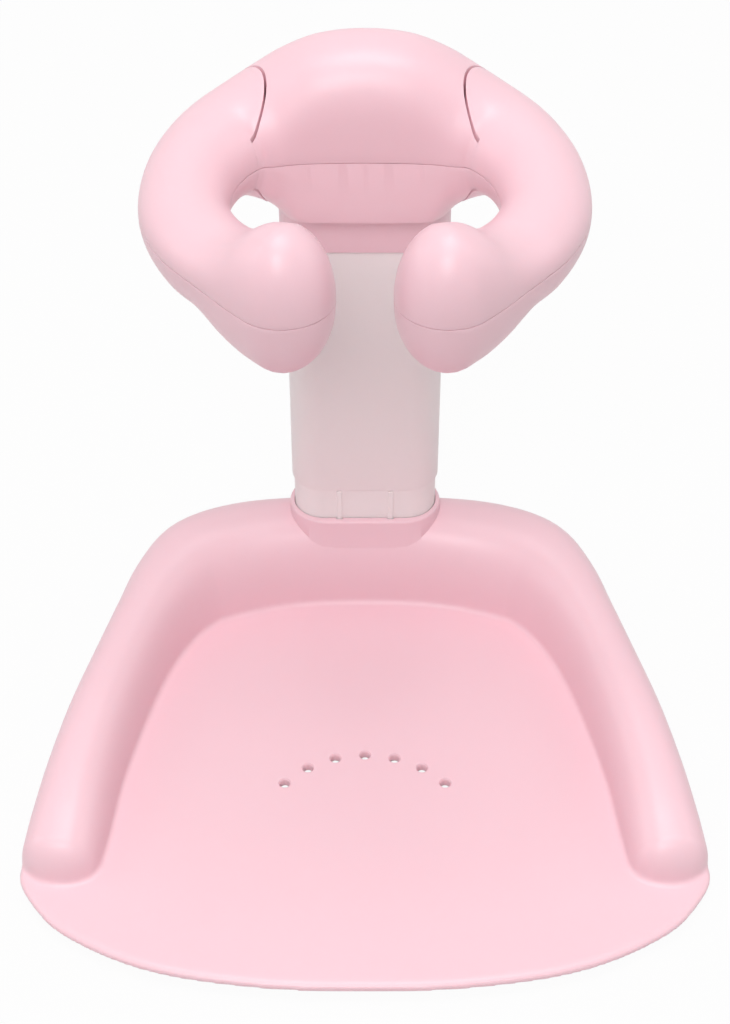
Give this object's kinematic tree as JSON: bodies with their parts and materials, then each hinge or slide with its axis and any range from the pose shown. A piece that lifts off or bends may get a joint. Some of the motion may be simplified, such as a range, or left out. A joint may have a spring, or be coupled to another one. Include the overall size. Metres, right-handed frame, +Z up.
{
  "type": "baby bath seat",
  "caption": "Baby bath seat: a tray with a raised rim on suction cups and an upright post that carries a rounded chest bow with two swinging arms.",
  "frame": {"origin": "centre of the tray's outline on the floor under the suction cups", "axes": "+Z up, -Y towards the front where the arms' tips meet, +X to the right as seen from the front"},
  "size_m": [0.3522, 0.3211, 0.361],
  "materials": {
    "pink_plastic": "satin",
    "post_plastic": "satin",
    "cup_rubber": "translucent soft",
    "catch_plastic": "satin",
    "yoke_plastic": "matte",
    "bush_plastic": "smooth",
    "spring_steel": "drawn wire",
    "screw_steel": "stainless",
    "pin_steel": "ground stainless"
  },
  "bodies": {
    "base": {"seat_base": "pink_plastic", "suction_cup_front_left": "cup_rubber", "suction_cup_front_right": "cup_rubber", "suction_cup_rear_left": "cup_rubber", "suction_cup_rear_right": "cup_rubber"},
    "post": {"post": "post_plastic", "post_foot": "post_plastic", "catch_spring": "spring_steel", "head_lower_shell": "pink_plastic", "head_upper_shell": "pink_plastic", "head_screws": "screw_steel", "hinge_yoke": "yoke_plastic", "yoke_screws": "screw_steel", "left_pivot_bush": "bush_plastic", "right_pivot_bush": "bush_plastic"},
    "catch": {"catch_button": "catch_plastic"},
    "left_arm": {"left_arm_lower_shell": "pink_plastic", "left_arm_upper_shell": "pink_plastic", "left_arm_screws": "screw_steel", "left_pivot_pin": "pin_steel", "left_friction_washers": "spring_steel"},
    "right_arm": {"right_arm_lower_shell": "pink_plastic", "right_arm_upper_shell": "pink_plastic", "right_arm_screws": "screw_steel", "right_pivot_pin": "pin_steel", "right_friction_washers": "spring_steel"}
  },
  "joints": [
    {"name": "post_slide", "type": "slide", "parent": "base", "child": "post", "axis": [0, 0, 1], "range_m": [-0.021, 0]},
    {"name": "catch_press", "type": "slide", "parent": "post", "child": "catch", "axis": [0, -1, 0], "range_m": [0, 0.0044], "stiffness_N_per_m": 300, "springref_m": -0.002, "deforming": ["catch_spring"]},
    {"name": "left_arm_swing", "type": "hinge", "parent": "post", "child": "left_arm", "pos_m": [-0.078, 0.115, 0.311], "axis": [0, 0, -1], "range_deg": [0, 70]},
    {"name": "right_arm_swing", "type": "hinge", "parent": "post", "child": "right_arm", "pos_m": [0.078, 0.115, 0.311], "axis": [0, 0, 1], "range_deg": [0, 70]}
  ]
}
